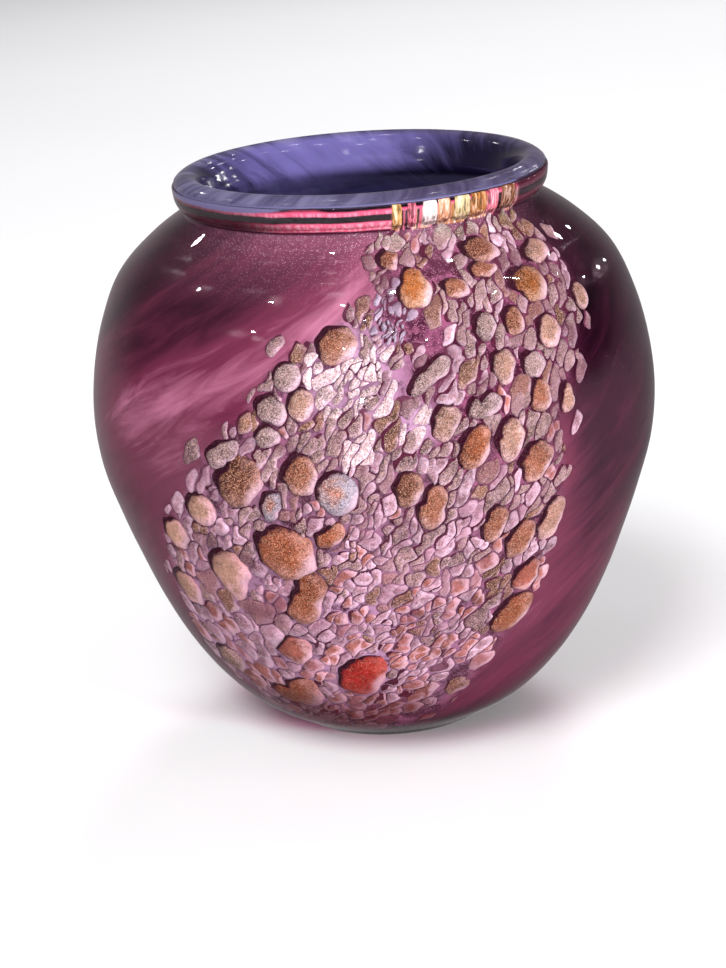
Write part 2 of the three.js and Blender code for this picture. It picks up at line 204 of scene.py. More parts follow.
# Large chips that keep an even, rounded outline.
ROUND_CHIPS = ("chip_blue_round", "chip_pale_round", "chip_silver_left_upper",
               "chip_tan_left", "chip_tan_far_right", "chip_orange_oval")


# ==== outlines read from the frame ======================================================
def circle(count):
    """Evenly spaced angles all round."""
    return np.linspace(0, 2 * math.pi, count, endpoint=False)


def rise(value, start, width):
    """0 up to start and 1 a width past it. A negative width rises the other way."""
    return np.clip((value - start) / width, 0, 1)


def bump(value, middle, width):
    """1 at the middle, fading away on both sides."""
    return np.exp(-((value - middle) / width) ** 2)


def lengths(points):
    """Distance along a line of points to each of them."""
    return np.concatenate([[0], np.cumsum(np.hypot(*np.diff(points, axis=0).T))])


def normals_of(points):
    """Directions square to a line of points, outwards for one that rises."""
    slope = np.gradient(np.array(points, float), axis=0)
    size = np.maximum(np.linalg.norm(slope, axis=1), 1e-9)
    return np.column_stack([slope[:, 1] / size, -slope[:, 0] / size])


def rings(node, side):
    """Turned rings of a CAD node as (radius, height), lowest first, on faces that look
    outwards (side 1) or inwards (side -1)."""
    mesh = frame["nodes"][node].data
    found = {}
    for polygon in mesh.polygons:
        centre, normal = polygon.center, polygon.normal
        radius = math.hypot(centre.x, centre.y)
        radial = (centre.x * normal.x + centre.y * normal.y) / max(radius, MM)
        if radial * side < SIDE_LIMIT:
            continue
        for index in polygon.vertices:
            corner = mesh.vertices[index].co
            key = (round(math.hypot(corner.x, corner.y), 5), round(corner.z, 5))
            found.setdefault(key, set()).add(round(math.atan2(corner.y, corner.x), 3))
    kept = [key for key, angles in found.items() if len(angles) >= RING_CORNERS]
    return sorted(kept, key=lambda key: key[1])


def smooth_curve(points, steps):
    """Catmull-Rom curve through points, evenly spaced along its length."""
    p = np.array(points, float)
    p = np.vstack([2 * p[0] - p[1], p, 2 * p[-1] - p[-2]])
    fine = []
    for i in range(1, len(p) - 2):
        for u in np.linspace(0, 1, 24, endpoint=False):
            a = 2 * p[i]
            b = p[i + 1] - p[i - 1]
            c = 2 * p[i - 1] - 5 * p[i] + 4 * p[i + 1] - p[i + 2]
            d = -p[i - 1] + 3 * p[i] - 3 * p[i + 1] + p[i + 2]
            fine.append((a + b * u + c * u * u + d * u ** 3) / 2)
    fine.append(p[-2])
    fine = np.array(fine)
    length = lengths(fine)
    even = np.linspace(0, length[-1], steps)
    return np.column_stack([np.interp(even, length, fine[:, k]) for k in (0, 1)])


class Outline:
    """A rising outline turned about the axis, addressed by azimuth and by distance along."""

    def __init__(self, points, steps=800):
        self.line = smooth_curve(points, steps)
        self.normal = normals_of(self.line)
        self.length = lengths(self.line)

    def along(self, distance):
        """Radius, height and the two parts of the normal at a distance along."""
        columns = (self.line[:, 0], self.line[:, 1], self.normal[:, 0], self.normal[:, 1])
        return [np.interp(distance, self.length, column) for column in columns]

    def at_height(self, height):
        return np.interp(height, self.line[:, 1], self.length)

    def nearest(self, radius, height):
        """Distance along of the points nearest to (radius, height)."""
        gap = (np.asarray(radius)[:, None] - self.line[:, 0]) ** 2
        gap = gap + (np.asarray(height)[:, None] - self.line[:, 1]) ** 2
        return self.length[np.argmin(gap, axis=1)]

    def place(self, angle, distance, lift):
        """Positions at azimuth, distance along and lift out of the surface."""
        radius, height, out, up = self.along(distance)
        radius = radius + lift * out
        return np.column_stack([radius * np.sin(angle), -radius * np.cos(angle),
                                height + lift * up])


casing_rings = rings(CASING, 1)
liner_rings = rings(LINER, 1)
liner_inner_rings = rings(LINER, -1)
neck_index = min(range(len(casing_rings) // 2, len(casing_rings)),
                 key=lambda i: casing_rings[i][0])
wall_rings = casing_rings[:neck_index + 1]
lip_rings = casing_rings[neck_index:]
NECK_HEIGHT = wall_rings[-1][1]
LIP_TOP = lip_rings[-1][1]


def liner_outline():
    """The liner's outer rings, led close under the lip's skin between neck and crown."""
    wall = [p for p in liner_rings if p[1] < NECK_HEIGHT - 4 * MM]
    lip = smooth_curve(lip_rings, 9)
    skin = lip - LIP_SKIN * normals_of(lip)
    crown = [p for p in liner_rings if p[1] > LIP_TOP]
    return wall + [tuple(p) for p in skin[1:-1]] + crown


liner_outer_rings = liner_outline()
liner_skin = Outline(liner_outer_rings)


# ==== mesh building =====================================================================
def placed(name, data):
    """Object in the scene that holds a mesh, a camera or a lamp."""
    made = bpy.data.objects.new(name, data)
    bpy.context.scene.collection.objects.link(made)
    return made


def new_object(name, vertices, faces, values=None):
    """Mesh object with smooth faces and one attribute for each entry of values."""
    mesh = bpy.data.meshes.new(name)
    mesh.from_pydata([tuple(v) for v in vertices], [], faces)
    for key, data in (values or {}).items():
        data = np.asarray(data, np.float32)
        kind, field = (("FLOAT", "value"), ("FLOAT_VECTOR", "vector"))[data.ndim - 1]
        mesh.attributes.new(key, kind, "POINT").data.foreach_set(field, data.ravel())
    mesh.validate()
    mesh.shade_smooth()
    return placed(name, mesh)


def turned_mesh(loop, steps, shape):
    """Vertices and faces of a loop of (radius, height) turned about the axis. The loop
    starts and ends on the axis. shape(angle, row) gives the lift of each vertex."""
    angles = circle(steps)
    vertices = [np.array([[0, 0, loop[0][1]]])]
    for row in range(1, len(loop) - 1):
        radius, height = loop[row]
        out, up, lift = shape(angles, row)
        r = radius + lift * out
        vertices.append(np.column_stack([r * np.sin(angles), -r * np.cos(angles),
                                         height + lift * up]))
    vertices.append(np.array([[0, 0, loop[-1][1]]]))
    faces = []
    rows = len(loop) - 2
    for i in range(steps):
        j = (i + 1) % steps
        faces.append((0, 1 + j, 1 + i))
        for row in range(rows - 1):
            low = 1 + row * steps
            high = low + steps
            faces.append((low + i, low + j, high + j, high + i))
        last = 1 + (rows - 1) * steps
        faces.append((last + i, last + j, 1 + rows * steps))
    return np.vstack(vertices), faces


def wave(angle, height, seed):
    """Smooth waviness of a blown surface, between about -1 and 1."""
    rng = random.Random(seed)
    total = np.zeros_like(angle * height)
    for turns in (2, 3, 3, 5, 7):
        phase = rng.uniform(0, 2 * math.pi)
        pitch = rng.uniform(25, 70)
        total = total + np.cos(turns * angle + height / MM / pitch + phase) / turns
    return total / 1.4


# ==== chips read from the frame =========================================================
def hull_reach(points, angles):
    """How far the convex hull of points reaches from their middle at each angle."""
    spread = points - points.mean(axis=0)
    reach = np.full(len(angles), np.inf)
    for angle in circle(90):
        support = (spread @ np.array([math.cos(angle), math.sin(angle)])).max()
        facing = np.cos(angles - angle)
        limit = np.where(facing > 0.05, support / np.maximum(facing, 0.05), np.inf)
        reach = np.minimum(reach, limit)
    return reach


def around(shares, angles):
    """Smooth closed curve through evenly spaced values, read at the given angles."""
    count = len(shares)
    place = angles / (2 * math.pi) * count
    first = np.floor(place).astype(int)
    ease = (1 - np.cos((place - first) * math.pi)) / 2
    values = np.array(shares)
    return values[first % count] * (1 - ease) + values[(first + 1) % count] * ease


def read_chip(node):
    """Centre, local radius and smooth outline of a CAD chip on the liner's skin."""
    corners = np.array([v.co for v in frame["nodes"][node].data.vertices], float)
    radius = np.hypot(corners[:, 0], corners[:, 1])
    angle = np.arctan2(corners[:, 0], -corners[:, 1])
    distance = liner_skin.nearest(radius, corners[:, 2])
    centre_angle = (angle.min() + angle.max()) / 2
    centre_along = (distance.min() + distance.max()) / 2
    local = float(liner_skin.along(centre_along)[0])
    points = np.column_stack([(angle - centre_angle) * local, distance - centre_along])
    turns = circle(LARGE_CORNERS)
    right, up, shares = SHAPES.get(node, (0.0, 0.0, (1.15,) * 8))
    centre_angle += right * MM / local
    centre_along += up * MM
    reach = hull_reach(points, turns)
    for _ in range(4):
        reach = (np.roll(reach, 2) + np.roll(reach, 1) + reach + np.roll(reach, -1)
                 + np.roll(reach, -2)) / 5
    reach = reach * around(shares, turns)
    rng = random.Random(node)
    rough = 0.008 if node in ROUND_CHIPS else 0.024
    for lobes in (2, 3, 4, 5, 7):
        swing = rng.uniform(0.3, 1.0) * rough
        reach = reach * (1 + swing * np.cos(lobes * turns + rng.uniform(0, 2 * math.pi)))
    outline = np.column_stack([reach * np.cos(turns), reach * np.sin(turns)])
    outline += points.mean(axis=0)
    return {"angle": centre_angle, "along": centre_along, "local": local,
            "outline": outline, "chance": rng.random(), "thick": 1.0, "bold": 1.0,
            "drift": 0.1 if node in ROUND_CHIPS else 0.5,
            "shadow": rng.uniform(0.5, 1.1) * MM * float(
                np.interp(centre_along, (30 * MM, 75 * MM), (0.45, 1.0)))}


# ==== chip meshes =======================================================================
# Domes as (share of the outline, share of the thickness), from the middle out.
LARGE_RINGS = [(0.25, 1.0), (0.5, 0.94), (0.7, 0.80), (0.84, 0.60), (0.94, 0.34), (1.0, -0.15)]
SMALL_RINGS = [(0.45, 1.0), (0.75, 0.76), (0.92, 0.38), (1.0, -0.1)]
# Direction the painted light on the chips comes from; the side attribute tells how far a point
# lies towards it.
LOWER_RIGHT = np.array([0.8, -0.6])


def drifted(chip, across, along):
    """Places round a chip after the slow drift of its surroundings."""
    x = (chip["angle"] + across / chip["local"]) * DRIFT_RADIUS
    y = chip["along"] + along
    shift_across = np.zeros(len(across))
    shift_along = np.zeros(len(across))
    for waves_across, waves_along, swing_across, swing_along, phase in DRIFT:
        turn = 2 * math.pi * (x * waves_across + y * waves_along) + phase
        shift_across += swing_across * np.sin(turn)
        shift_along += swing_along * np.cos(turn * 1.07)
    return across + chip["drift"] * shift_across, along + chip["drift"] * shift_along


def chip_mesh(chip, profile, thickness):
    """Domed chip on the liner's skin: vertices, faces and per-vertex values."""
    outline = chip["outline"]
    count = len(outline)
    across, along, lift, edge, side = [0.0], [0.0], [thickness], [0.0], [0.0]
    turn = outline / np.maximum(np.linalg.norm(outline, axis=1), MM * 0.01)[:, None]
    for share, height in profile:
        across.extend(outline[:, 0] * share)
        along.extend(outline[:, 1] * share)
        lift.extend([height * thickness] * count)
        edge.extend([share] * count)
        side.extend(turn @ LOWER_RIGHT * share)
    across.append(0.0)
    along.append(0.0)
    lift.append(profile[-1][1] * thickness)
    edge.append(1.0)
    side.append(0.0)
    across, along = drifted(chip, np.array(across), np.array(along))
    vertices = liner_skin.place(chip["angle"] + across / chip["local"],
                                chip["along"] + along, np.array(lift))
    faces = []
    rows = len(profile)
    for i in range(count):
        j = (i + 1) % count
        faces.append((0, 1 + i, 1 + j))
        for row in range(rows - 1):
            near = 1 + row * count
            far = near + count
            faces.append((near + i, far + i, far + j, near + j))
        rim = 1 + (rows - 1) * count
        faces.append((rim + j, rim + i, 1 + rows * count))
    chance = [chip["chance"]] * len(vertices)
    bold = [chip["bold"]] * len(vertices)
    return vertices, faces, {"edge": edge, "side": side, "chance": chance, "bold": bold}


def crescent(chip):
    """Painted shadow of a chip: the dark plum that shows past its upper left, as a flat chip
    below it.
    """
    shape = dict(chip)
    shape["angle"] = chip["angle"] - 0.8 * chip["shadow"] / chip["local"]
    shape["along"] = chip["along"] + 0.6 * chip["shadow"]
    return shape


def joined(name, chips, profile, thickness):
    """One object of many chips, each with the crescent of its painted shadow."""
    vertices, faces = [], []
    values = {"edge": [], "side": [], "chance": [], "bold": []}
    start = 0
    for chip in chips:
        parts = [chip_mesh(chip, profile, thickness * chip["thick"])]
        # the painted shadow: a flat crescent below the chip, in the dark shade line colour
        if chip["shadow"] > 0:
            parts.append(chip_mesh(crescent(chip), profile, CRESCENT_THICKNESS))
            below = parts[1][2]
            below["edge"] = [CRESCENT_EDGE] * len(below["edge"])
            below["side"] = [0.0] * len(below["edge"])
            below["bold"] = [1.0] * len(below["edge"])
        for v, f, extra in parts:
            vertices.append(v)
            faces.extend([tuple(start + i for i in face) for face in f])
            for key in values:
                values[key].extend(extra[key])
            start += len(v)
    return new_object(name, np.vstack(vertices), faces, values)


# ==== small chips =======================================================================
def spray_depth(angle, height):
    """How far inside the spray a place is; negative outside it."""
    h = np.asarray(height) / MM
    left = np.radians(np.interp(h, *zip(*SPRAY_LEFT)))
    right = np.radians(np.interp(h, *zip(*SPRAY_RIGHT)))
    radius = liner_skin.along(liner_skin.at_height(height))[0]
    return np.minimum(angle - left, right - angle) * radius


def chip_likelihood(angle, height):
    """1 inside the spray, and a few strays within 9 mm outside it."""
    depth = float(spray_depth(angle, height)) / MM
    likelihood = float(np.interp(depth, (-9, -2.5, 1), (0, 0.012, 1.0)))
    likelihood *= float(np.interp(height / MM, (5, 15), (0.01, 1.0)))
    for azimuth, level, reach, share in OPEN_PATCHES:
        if patch_gap(angle, height, azimuth, level) < reach * MM:
            likelihood *= share
    return likelihood


def patch_gap(angle, height, azimuth, level):
    """Distance over the surface from a place to the middle of a patch."""
    radius = float(liner_skin.along(liner_skin.at_height(height))[0])
    return math.hypot((angle - math.radians(azimuth)) * radius, height - level * MM)


def stretch_matrix(angle, height):
    """Turns a step on the surface into one where an average chip is round."""
    level = height / MM
    low_left = rise(math.degrees(angle), -20, -20) * rise(level, 75, -30)
    lean = np.interp(level, *LEAN) * (1 - low_left) + LOW_LEFT_LEAN * low_left
    lean = math.radians(lean)
    stretch = np.interp(level, *STRETCH)
    across = np.array([math.cos(lean), -math.sin(lean)])
    along = np.array([math.sin(lean), math.cos(lean)])
    return np.array([across * math.sqrt(stretch), along / math.sqrt(stretch)])


def spacing_at(angle, height, rng):
    """Distance between small chips at a place."""
    spacing = SMALL_SPACING * rng.uniform(0.48, 1.5)
    for azimuth, level, reach, share in SIZE_PATCHES:
        gap = patch_gap(angle, height, azimuth, level)
        near = max(0.0, 1 - gap / (reach * MM))
        spacing *= 1 - (1 - share) * min(1.0, 2 * near)
    return spacing


def cluster(angle, along):
    """Smooth value from 0 to 1 that gives neighbouring chips like colours."""
    x, y = angle * DRIFT_RADIUS / MM, along / MM
    value = (math.sin(x / 4.1 + 1.3) * math.sin(y / 5.3 + 0.4)
             + math.sin(x / 2.6 - y / 6.0 + 2.0) + 0.7 * math.sin(x / 7.0 + y / 3.1))
    return 0.5 + value / 5.4


def scatter(borders):
    """Sites for the small chips, clear of the large ones and of the crescents of their painted
    shadows.
    """
    rng = random.Random(SEED)
    sites = []
    places = np.empty((0, 2))
    for _ in range(TRIES):
        angle = math.radians(rng.uniform(-70, 66))
        height = rng.uniform(4, 140) * MM
        if rng.random() > chip_likelihood(angle, height):
            continue
        along = float(liner_skin.at_height(height))
        site = {"angle": angle, "along": along, "height": height, "drift": 1.0,
                "local": float(liner_skin.along(along)[0]), "group": len(sites),
                "depth": float(spray_depth(angle, height)),
                "spacing": spacing_at(angle, height, rng),
                "matrix": stretch_matrix(angle, height)}
        gaps = np.linalg.norm(steps_from(site, places), axis=1)
        if (gaps < site["spacing"]).any() or any(covers(chip, site) for chip in borders):
            continue
        bold = float(np.interp(height / MM, *BOLDNESS))
        site["pick"] = 0.5 * rng.random() + 0.5 * cluster(angle, along)
        site["chance"] = rng.random()
        site["thick"] = rng.uniform(0.7, 1.3) * float(np.interp(height / MM, *THICKNESS))
        site["bold"] = rng.uniform(0.1, 0.55) * bold
        site["shadow"] = max(0.0, rng.uniform(-0.2, 1.0)) * bold * MM
        site["merge"] = rng.random() < MERGED_SHARE
        sites.append(site)
        places = np.vstack([places, [angle, along]])
    return sites


def covers(border, site):
    """True if a site lies on a large chip or within a small margin of it."""
    step = np.array([(site["angle"] - border["angle"]) * site["local"],
                     site["along"] - border["along"]])
    size = np.linalg.norm(step)
    reach = np.linalg.norm(border["outline"], axis=1)
    if size > reach.max() + 1.2 * MM:
        return False
    turn = border["outline"] @ step / np.maximum(reach * size, 1e-12)
    return size < reach[np.argmax(turn)] + 0.5 * MM


def steps_from(site, places):
    """Steps from a site to each place, measured so that an average chip is round."""
    step = np.column_stack([(places[:, 0] - site["angle"]) * site["local"],
                            places[:, 1] - site["along"]])
    return step @ site["matrix"].T


def merge_neighbours(sites, places):
    """Gives some sites the group and the look of their nearest neighbour."""
    for site in sites:
        if site["merge"]:
            gaps = np.linalg.norm(steps_from(site, places), axis=1)
            other = sites[int(np.argsort(gaps)[1])]
            for key in ("group", "pick", "chance"):
                site[key] = other[key]


def fit_outline(site, sites, places, borders):
    """Outline of a small chip: the room it has between its neighbours, rounded off."""
    turns = circle(SMALL_CORNERS)
    alone = kind_of(site) == BLUE or site["depth"] < 1 * MM
    reach = np.full(SMALL_CORNERS, site["spacing"] * (0.6 if alone else 0.92))
    matrix = site["matrix"]
    step = steps_from(site, places)
    gaps = np.linalg.norm(step, axis=1)
    limits = []
    for k in np.argsort(gaps)[1:14]:
        other = sites[k]
        if gaps[k] > 3 * site["spacing"] or other["group"] == site["group"]:
            continue
        share = site["spacing"] / (site["spacing"] + other["spacing"])
        gap = SMALL_GAP * (1 + 1.4 * site["bold"])
        limits.append((step[k], gaps[k] * share - gap))
    for chip in borders:
        shift = np.array([(chip["angle"] - site["angle"]) * site["local"],
                          chip["along"] - site["along"]])
        if np.linalg.norm(shift) > 18 * MM:
            continue
        rim = (chip["outline"] + shift) @ matrix.T
        size = np.linalg.norm(rim, axis=1)
        nearest = int(np.argmin(size))
        limits.append((rim[nearest], size[nearest] - SMALL_GAP))
    for direction, limit in limits:
        facing = np.cos(turns - math.atan2(direction[1], direction[0]))
        cut = np.where(facing > 0.1, max(limit, 0.3 * MM) / np.maximum(facing, 0.1), np.inf)
        reach = np.minimum(reach, cut)
    reach = (np.roll(reach, 1) + 3 * reach + np.roll(reach, -1)) / 5
    round_points = np.column_stack([reach * np.cos(turns), reach * np.sin(turns)])
    return round_points @ np.linalg.inv(matrix).T


# Share of each kind of small chip at some heights, from the base of the spray to its top.
SHARE_HEIGHTS = (20 * MM, 45 * MM, 75 * MM, 120 * MM)
SMALL_SHARES = {
    "small_gold_chips": (0.06, 0.12, 0.18, 0.28),
    "small_silver_chips": (0.02, 0.08, 0.36, 0.46),
    "small_lilac_chips": (0.34, 0.38, 0.32, 0.22),
    "small_rose_chips": (0.58, 0.42, 0.14, 0.04),
}
SMALL_SLOTS = {
    "small_gold_chips": "amber_glass",
    "small_silver_chips": "silver_glass",
    "small_lilac_chips": "cream_glass",
    "small_rose_chips": "coral_glass",
    GLARE: "silver_glass",
    BLUE: "blue_glass",
}


def kind_of(site):
    """Name of the kind of small chip at a site."""
    for azimuth, level, reach, kind in KIND_PATCHES:
        gap = patch_gap(site["angle"], site["height"], azimuth, level)
        if gap < reach * MM * (0.6 + 0.5 * site["chance"]):
            return kind
    weights = [np.interp(site["height"], SHARE_HEIGHTS, shares)
               for shares in SMALL_SHARES.values()]
    target = min(max(site["pick"] * 1.5 - 0.25, 0.0), 0.999) * sum(weights)
    for name, weight in zip(SMALL_SHARES, weights):
        target -= weight
        if target <= 0:
            break
    return name


# ==== lip streaks =======================================================================
def streak_outline(node):
    """Upright stripe of the CAD streak's width over the whole height of the lip's bead."""
    chip = read_chip(node)
    half = (chip["outline"][:, 0].max() - chip["outline"][:, 0].min()) / 2
    low = float(liner_skin.at_height(NECK_HEIGHT + 0.5 * MM))
    high = float(liner_skin.at_height(LIP_TOP))
    turns = circle(LARGE_CORNERS)
    across = half * np.sign(np.cos(turns)) * np.abs(np.cos(turns)) ** 0.3
    along = (high - low) / 2 * np.sign(np.sin(turns)) * np.abs(np.sin(turns)) ** 0.45
    chip["along"] = (low + high) / 2
    chip["outline"] = np.column_stack([1.12 * across, along])
    chip["drift"] = 0.0
    chip["shadow"] = 0.0
    return chip


# ==== materials =========================================================================
def rgb(colour):
    """Linear light of a colour given as seen, with parts from 0 to 255."""
    parts = [c / 255 for c in colour]
    linear = [c / 12.92 if c <= 0.04045 else ((c + 0.055) / 1.055) ** 2.4 for c in parts]
    return (*linear, 1.0)


class Nodes:
    """The node tree of a material or a world, with short ways to add and join nodes."""

    def __init__(self, owner):
        owner.use_nodes = True
        self.tree = owner.node_tree
        self.tree.nodes.clear()

    def fill(self, socket, value):
        """Links a socket to another one, or gives it a value."""
        if isinstance(value, bpy.types.NodeSocket):
            self.tree.links.new(value, socket)
        else:
            socket.default_value = value

    def add(self, kind, inputs=None, **settings):
        node = self.tree.nodes.new("ShaderNode" + kind)
        for key, value in settings.items():
            setattr(node, key, value)
        for key, value in (inputs or {}).items():
            self.fill(node.inputs[key], value)
        return node

    def math(self, operation, first, second=0.5):
        return self.add("Math", {0: first, 1: second}, operation=operation).outputs[0]

    def plus(self, total, *values):
        for value in values:
            total = self.math("ADD", total, value)
        return total

    def times(self, total, *values):
        for value in values:
            total = self.math("MULTIPLY", total, value)
        return total

    def ramp(self, value, start, end, low=0.0, high=1.0):
        """low before start, high past end, smooth between."""
        return self.add("MapRange", {"Value": value, "From Min": start, "From Max": end,
                                     "To Min": low, "To Max": high},
                        interpolation_type="SMOOTHSTEP").outputs[0]

    def window(self, value, rise, fall):
        """1 between a rise and a fall, each given as (start, end)."""
        return self.times(self.ramp(value, *rise), self.ramp(value, *fall))

    def parts(self, vector):
        return self.add("SeparateXYZ", {0: vector}).outputs

    def vector(self, *parts):
        return self.add("CombineXYZ", dict(enumerate(parts))).outputs[0]

    def vectors(self, operation, *values):
        return self.add("VectorMath", dict(enumerate(values)), operation=operation).outputs[0]


class Shader(Nodes):
    """A material's nodes. Colours with three parts are given as seen, from 0 to 255."""

    def __init__(self, name):
        self.material = bpy.data.materials.new(name)
        super().__init__(self.material)

    def place(self):
        return self.add("TexCoord").outputs["Object"]

    def attribute(self, name, output="Fac"):
        return self.add("Attribute", attribute_name=name).outputs[output]

    def blend(self, share, first, second, kind="MIX"):
        """The second colour over the first."""
        node = self.add("Mix", data_type="RGBA", blend_type=kind)
        sockets = {s.identifier: s for s in node.inputs}
        for key, value in (("Factor_Float", share), ("A_Color", first), ("B_Color", second)):
            as_seen = isinstance(value, tuple) and len(value) == 3
            self.fill(sockets[key], rgb(value) if as_seen else value)
        return [s for s in node.outputs if s.identifier == "Result_Color"][0]

    def toned(self, value, colour, *steps):
        """Colours that take over as a value rises, each given as (start, end, colour)."""
        for start, end, coat in steps:
            colour = self.blend(self.ramp(value, start, end), colour, coat)
        return colour

    def noise(self, vector, scale, detail=3.0, roughness=0.5, distortion=0.0):
        return self.add("TexNoise", {"Vector": vector, "Scale": scale, "Detail": detail,
                                     "Roughness": roughness, "Distortion": distortion},
                        noise_dimensions="3D").outputs[0]

    def strands(self, across, upright, distortion=0.0):
        """Noise drawn out upwards, with its waves per metre across and upright."""
        x, y, z = self.parts(self.place())
        drawn = self.vector(self.times(x, across), self.times(y, across),
                            self.times(z, upright))
        return self.noise(drawn, 1.0, 3.0, 0.6, distortion)

    def cells(self, scale):
        """Three random values and the distance from the middle, for cells 1/scale across."""
        node = self.add("TexVoronoi", {"Vector": self.place(), "Scale": scale},
                        voronoi_dimensions="3D", feature="F1")
        chances = self.add("SeparateColor", {0: node.outputs["Color"]}).outputs
        return node.outputs["Color"], chances, node.outputs["Distance"]

    def deep_patches(self):
        """Patches of the spray that lie deeper in the plum glass."""
        return self.ramp(self.noise(self.place(), DEEP_SCALE, 3.0), 0.52, 0.68)

    def glass(self, colour, roughness, **more):
        """Finishes the material as opaque glass."""
        inputs = {"Base Color": colour, "Roughness": roughness, "IOR": OPAQUE_IOR, **more}
        return self.finish(self.add("BsdfPrincipled", inputs))

    def finish(self, surface, volume=None):
        output = self.add("OutputMaterial", {"Surface": surface.outputs[0]})
        if volume is not None:
            self.fill(output.inputs["Volume"], volume.outputs[0])
        return self.material


CLEAR_IOR = 1.42
OPAQUE_IOR = 1.45
AMETHYST = (0.80, 0.46, 0.62, 1)
AMETHYST_DENSITY = 88.0


def casing_material():
    """Clear glass with a breath of amethyst. Rays to lamps and soft bounces run straight
    through it, so what is under the glass is lit."""
    s = Shader("clear_amethyst_glass")
    glass = s.add("BsdfPrincipled", {"Base Color": (1, 1, 1, 1), "Roughness": 0.02,
                                     "IOR": CLEAR_IOR, "Transmission Weight": 1.0})
    clear = s.add("BsdfTransparent").outputs[0]
    path = s.add("LightPath").outputs
    soft = s.add("MixShader", {0: path["Is Diffuse Ray"], 1: glass.outputs[0], 2: clear})
    lamps = s.add("MixShader", {0: path["Is Shadow Ray"], 1: soft.outputs[0], 2: clear})
    tint = s.add("VolumeAbsorption", {"Color": AMETHYST, "Density": AMETHYST_DENSITY})
    return s.finish(lamps, tint)


# Bands under the lip's skin, painted light and reflection of the lip's clear bead over the
# plum: bright pink where it shows lit plum glass, near black painted reflection of the dark
# room. (height in mm where the band starts, colour), from the neck up.
LIP_GROUND = (60, 16, 38)
LIP_BANDS = [(142.5, (30, 8, 20)), (142.9, (236, 104, 136)), (145.0, (16, 4, 12)),
             (146.7, (206, 80, 112)), (147.9, (20, 8, 20))]
BAND_SOFTNESS = (0.3, 0.7)               # mm past a band's start where its colour comes in
LOW_BAND = ((143.3, 143.7), (145.5, 144.9))       # heights in mm of the low magenta band
HIGH_BAND = ((147.0, 147.3), (148.2, 147.9))
# Painted highlights in fine upright streaks over the two pink bands.
LOW_SHEEN = (248, 178, 196)
HIGH_SHEEN = (226, 150, 178)
# The bands darken round the left: heights in mm and azimuths in radians.
LOW_DIM = ((145.9, 145.5), (-0.2, -0.7))
HIGH_DIM = ((146.2, 146.6), (-0.3, -0.95))
BACK_OF_LIP = (-2.9, -2.2)
DIMMED_LIP = (36, 8, 20)
CROWN_LOW = ((-1.9, -1.3), (-0.2, -0.7))          # azimuths where the crown's lilac runs lower
CROWN_EDGE = (149.1, 149.4)                       # heights in mm where the lilac starts
CROWN_LILAC = (104, 100, 136)
# Upright stripes of the lip, where the spray runs over it: azimuths in radians.
STRIPES = ((0.14, 0.16), (0.96, 0.90))
STRIPES_HEIGHT = (148.0, 147.5)
PAST_STRIPES = ((0.90, 0.95), (2.6, 2.2))
PAST_STRIPES_COLOUR = (34, 8, 24)
STRIPE_GROUND = (44, 10, 26)
STRIPE_HUES = [(0.40, 0.43, (190, 98, 120)), (0.47, 0.49, (206, 168, 140)),
               (0.54, 0.56, (172, 112, 66))]
STRIPE_LINES = [(0.56, 0.66, (232, 212, 204)), (0.42, 0.36, (40, 8, 22))]


def lip_colour(s):
    """Level bands of magenta and near black under the lip, painted light, highlight and
    reflection of the lip's clear bead over the plum glass, and upright stripes of pale glass
    where the spray runs over it."""
    x, y, height = s.parts(s.place())
    angle = s.math("ARCTAN2", x, s.times(y, -1.0))
    level = s.plus(s.times(height, 1 / MM), s.noise(s.place(), 78.0, 2.0))
    soft_start, soft_end = BAND_SOFTNESS
    colour = s.toned(level, LIP_GROUND, *[(start + soft_start, start + soft_end, shade)
                                          for start, shade in LIP_BANDS])
    sheen = s.ramp(s.strands(1100.0, 30.0), 0.36, 0.66)
    colour = s.blend(s.times(sheen, s.window(level, *LOW_BAND)), colour, LOW_SHEEN)
    colour = s.blend(s.times(sheen, s.window(level, *HIGH_BAND), 0.7), colour, HIGH_SHEEN)
    low_dim = s.times(s.ramp(level, *LOW_DIM[0]), s.ramp(angle, *LOW_DIM[1]))
    high_dim = s.times(s.ramp(level, *HIGH_DIM[0]), s.ramp(angle, *HIGH_DIM[1]))
    dim = s.times(s.plus(low_dim, s.times(high_dim, 0.85)), s.ramp(angle, *BACK_OF_LIP))
    colour = s.blend(s.times(dim, 0.93), colour, DIMMED_LIP)
    crown_level = s.plus(level, s.times(s.window(angle, *CROWN_LOW), 1.5))
    colour = s.toned(crown_level, colour, (*CROWN_EDGE, CROWN_LILAC))
    strand = s.vector(s.times(angle, 60.0), s.times(height, 25.0))
    stripe = s.toned(s.noise(strand, 0.33, 1.0), STRIPE_GROUND, *STRIPE_HUES)
    stripe = s.toned(s.noise(strand, 1.0, 3.0, 0.6), stripe, *STRIPE_LINES)
    colour = s.blend(s.times(s.window(angle, *PAST_STRIPES), 0.9), colour,
                     PAST_STRIPES_COLOUR)
    striped = s.times(s.window(angle, *STRIPES), s.ramp(level, *STRIPES_HEIGHT))
    return s.blend(striped, colour, stripe)


# Colours of the liner, each set from its darkest tone up: (start, end, colour).
PLUM = (12, 2, 10)
PLUM_STEPS = [(-0.15, 0.18, (48, 14, 33)), (0.14, 0.56, (110, 50, 74)),
              (0.50, 0.78, (186, 128, 152))]
VIOLET = (22, 16, 40)
VIOLET_STEPS = [(0.18, 0.62, (92, 84, 138)), (0.62, 0.95, (142, 134, 190))]
LILAC = (60, 56, 84)
LILAC_STEP = (0.36, 0.68, (102, 98, 128))
LILAC_AT_RIGHT = (48, 36, 56)
